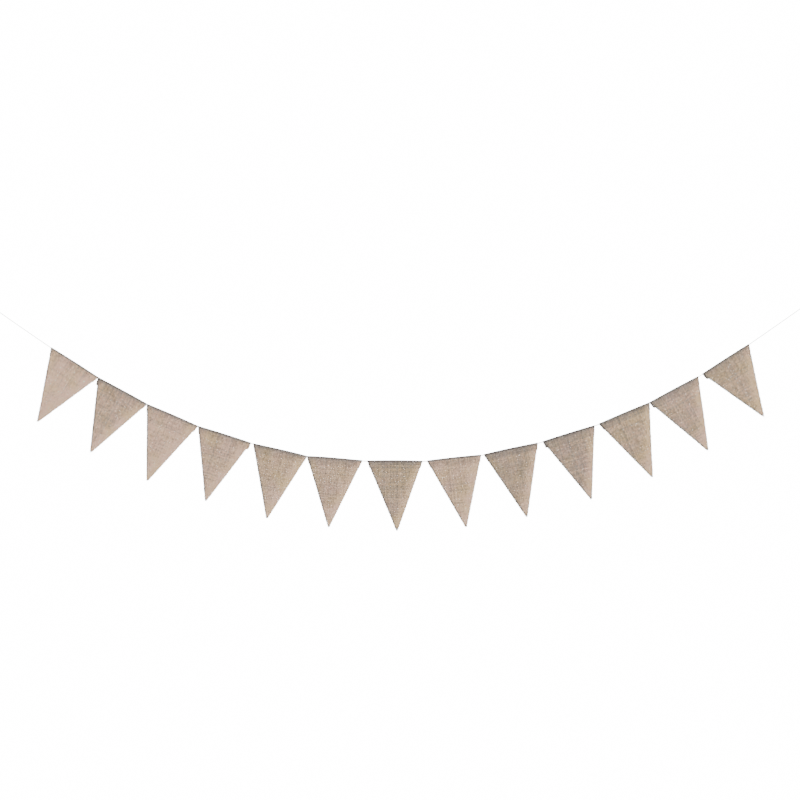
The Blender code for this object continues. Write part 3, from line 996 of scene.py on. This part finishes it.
weave = weave_tree()
jute = jute_material()
hangings = []
flags = []
for number, (flag, line) in enumerate(zip(FLAGS, flag_lines), start=1):
    name = f"flag_{number:02d}"
    hanging = Hanging(flag, line)
    rows = section_rows(flag)
    cloth = FlatCloth(number, hanging, rows)
    sheet = cloth_sheet(name + "_sheet", hanging, rows)
    woven = []
    for way, threads in zip(("warp", "weft"), thread_meshes(name, cloth)):
        sizes = {
            "Sheet": sheet,
            "Layout": LAYOUT,
            "Yarn Width": YARN_WIDTH,
            "Yarn Thickness": YARN_THICKNESS,
            "Lift": LIFT,
            "Uneven": UNEVEN,
            "Thinnest": THINNEST,
            "Seed": GRAIN_A_FLAG * number + (GRAIN_A_WEFT if way == "weft" else 0.0),
            "Material": jute,
        }
        yarns = made_by(weave, f"{name}_{way}", threads, sizes)
        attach(yarns, "root")
        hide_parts(name)
        woven.append(yarns)
    bpy.data.objects.remove(sheet)
    hangings.append(hanging)
    flags.append((woven, cloth))

# A row of stitches through both layers holds each flap down. It is one plain thread in the cloth's own
# colour, in and out about every 3 mm, along the flap's lower edge.
STITCH_DOWN = 0.0145
STITCH_LENGTH = 0.0032
STITCH_OUT = 0.00155
STITCH_SHAPE = ((0.08, 0.5), (0.25, 1.0), (0.75, 1.0), (0.92, 0.5))
STITCH_MARGIN = 0.003
THREAD = 0.0005
THREAD_SIDES = 6
THREAD_COLOUR = (0.52, 0.40, 0.31, 1.0)


def stitch_line(hanging):
    """The thread's points: flat over the front, down through the cloth, flat over the back and up again."""
    left, right = edges_at(hanging.flag, hanging.width, STITCH_DOWN, True)
    count = int((right - left - 2 * STITCH_MARGIN) / STITCH_LENGTH)
    points = []
    for k in range(count):
        start = float(left) + STITCH_MARGIN + STITCH_LENGTH * k
        side = 1.0 if k % 2 else -1.0
        for share, out in STITCH_SHAPE:
            points.append(hanging.place(start + STITCH_LENGTH * share, side * out * STITCH_OUT, STITCH_DOWN))
    return points


thread_sizes = {
    "Diameter": THREAD,
    "Sides": THREAD_SIDES,
    "Material": thread_material("sewing thread", THREAD_COLOUR),
}
sewn = []
for number, hanging in enumerate(hangings, start=1):
    name = f"flag_{number:02d}_stitches"
    stitches = made_by(thin_threads, name, line_mesh(name, stitch_line(hanging)), thread_sizes)
    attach(stitches, "root")
    sewn.append(stitches)

# Loose jute fibres stand out of the cut edges and lie over the face of every flag, thin and short, as they
# do on any coarse cloth.
FIBRE_SEED = 400
FIBRES = 150
FIBRE = 0.00014
FIBRE_SIDES = 3
FIBRE_LENGTH = (0.0016, 0.0052)
FIBRE_COLOUR = (0.62, 0.46, 0.33, 1.0)
FIBRE_HEIGHTS = (0.01, 0.99)
NEAR_TOP = 1.3
EDGE_TURN = 0.6
FACE_TURN = 1.5
FIBRE_CURL = 0.25
FIBRE_RISE = (0.0002, 0.0012)
EDGE_INSIDE = 0.0005
FACE_GAP = 0.0001


def fibre_lines(hanging, number, length):
    """Short curved hairs, two thirds of them out of the two slanting edges and the others on the face."""
    draw = np.random.default_rng(FIBRE_SEED + number)
    lines = []
    for k in range(FIBRES):
        down = length * draw.uniform(*FIBRE_HEIGHTS) ** NEAR_TOP
        left, right = edges_at(hanging.flag, hanging.width, down, False)
        span = draw.uniform(*FIBRE_LENGTH)
        turn = draw.normal(0.0, EDGE_TURN)
        out = LAYERS_APART / 2
        if k % 3 == 0:
            reach, way = float(left) + EDGE_INSIDE, -1.0
        elif k % 3 == 1:
            reach, way = float(right) - EDGE_INSIDE, 1.0
        else:
            reach, way = draw.uniform(float(left), float(right)), draw.choice((-1.0, 1.0))
            turn = draw.uniform(-FACE_TURN, FACE_TURN)
            out = (LAYERS_APART + CLOTH) / 2 + FACE_GAP
        aside = way * span * math.cos(turn)
        lower = span * math.sin(turn)
        curl = draw.normal(0.0, FIBRE_CURL) * span
        rise = draw.uniform(*FIBRE_RISE)
        line = []
        for t in (0.0, 0.25, 0.5, 0.75, 1.0):
            bent = curl * t * t
            along = reach + aside * t - bent * math.sin(turn)
            line.append(hanging.place(along, out + rise * t, down + lower * t + bent))
        lines.append(line)
    return lines


fibre_sizes = {
    "Diameter": FIBRE,
    "Sides": FIBRE_SIDES,
    "Material": thread_material("loose jute fibre", FIBRE_COLOUR),
}
for number, (hanging, stitches, (woven, cloth)) in enumerate(zip(hangings, sewn, flags), start=1):
    name = f"flag_{number:02d}_fibres"
    lines = fibre_lines(hanging, number, cloth.length - HEM)
    fibres = made_by(thin_threads, name, line_mesh(name, *lines), fibre_sizes)
    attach(fibres, "root")

# The studio: a plain pale floor well below the banner, a white surround, and three large soft lights: two
# from the front, of which the right one is a little stronger, and one from above and behind. The surround is
# brighter where it is seen than where it lights the cloth.
FLOOR_HEIGHT = -2.2
FLOOR_CORNERS = ((-6.0, -6.0), (8.0, -6.0), (8.0, 4.1), (-6.0, 4.1))
FLOOR_COLOUR = (0.85, 0.85, 0.84, 1.0)
FLOOR_GLOW = 0.95
SEEN_WHITE = 16.0
LIT_WHITE = 0.55
LIGHTS = (
    ("key light", (3.6, -2.6, 1.2), 1.4, 62.0),
    ("fill light", (-1.6, -3.0, 0.8), 2.0, 60.0),
    ("back light", (1.1, 2.6, 3.2), 2.0, 55.0),
)

floor_mesh = bpy.data.meshes.new("floor")
floor_mesh.from_pydata([(x, y, FLOOR_HEIGHT) for x, y in FLOOR_CORNERS], [], [(0, 1, 2, 3)])
floor = bpy.data.objects.new("floor", floor_mesh)
floor_material, floor_tree = new_material("pale floor", roughness=0.8)
floor_shader = floor_tree.nodes["Principled BSDF"]
floor_shader.inputs["Base Color"].default_value = FLOOR_COLOUR
floor_shader.inputs["Emission Color"].default_value = FLOOR_COLOUR
floor_shader.inputs["Emission Strength"].default_value = FLOOR_GLOW
floor_mesh.materials.append(floor_material)
bpy.context.scene.collection.objects.link(floor)

surround = bpy.data.worlds.new("surround")
surround.use_nodes = True
background = surround.node_tree.nodes["Background"]
background.inputs["Color"].default_value = (1.0, 1.0, 1.0, 1.0)
seen = node(surround.node_tree, "ShaderNodeLightPath").outputs["Is Camera Ray"]
strength = sums(surround.node_tree, "MULTIPLY_ADD", seen, SEEN_WHITE - LIT_WHITE, LIT_WHITE)
surround.node_tree.links.new(strength, background.inputs["Strength"])
bpy.context.scene.world = surround

for name, place, size, power in LIGHTS:
    light_data = bpy.data.lights.new(name, "AREA")
    light_data.size = size
    light_data.energy = power
    light = bpy.data.objects.new(name, light_data)
    light.location = place
    aim = Vector((SEEN_CENTRE[0], 0.0, SEEN_CENTRE[1])) - Vector(place)
    light.rotation_euler = aim.to_track_quat("-Z", "Y").to_euler()
    bpy.context.scene.collection.objects.link(light)
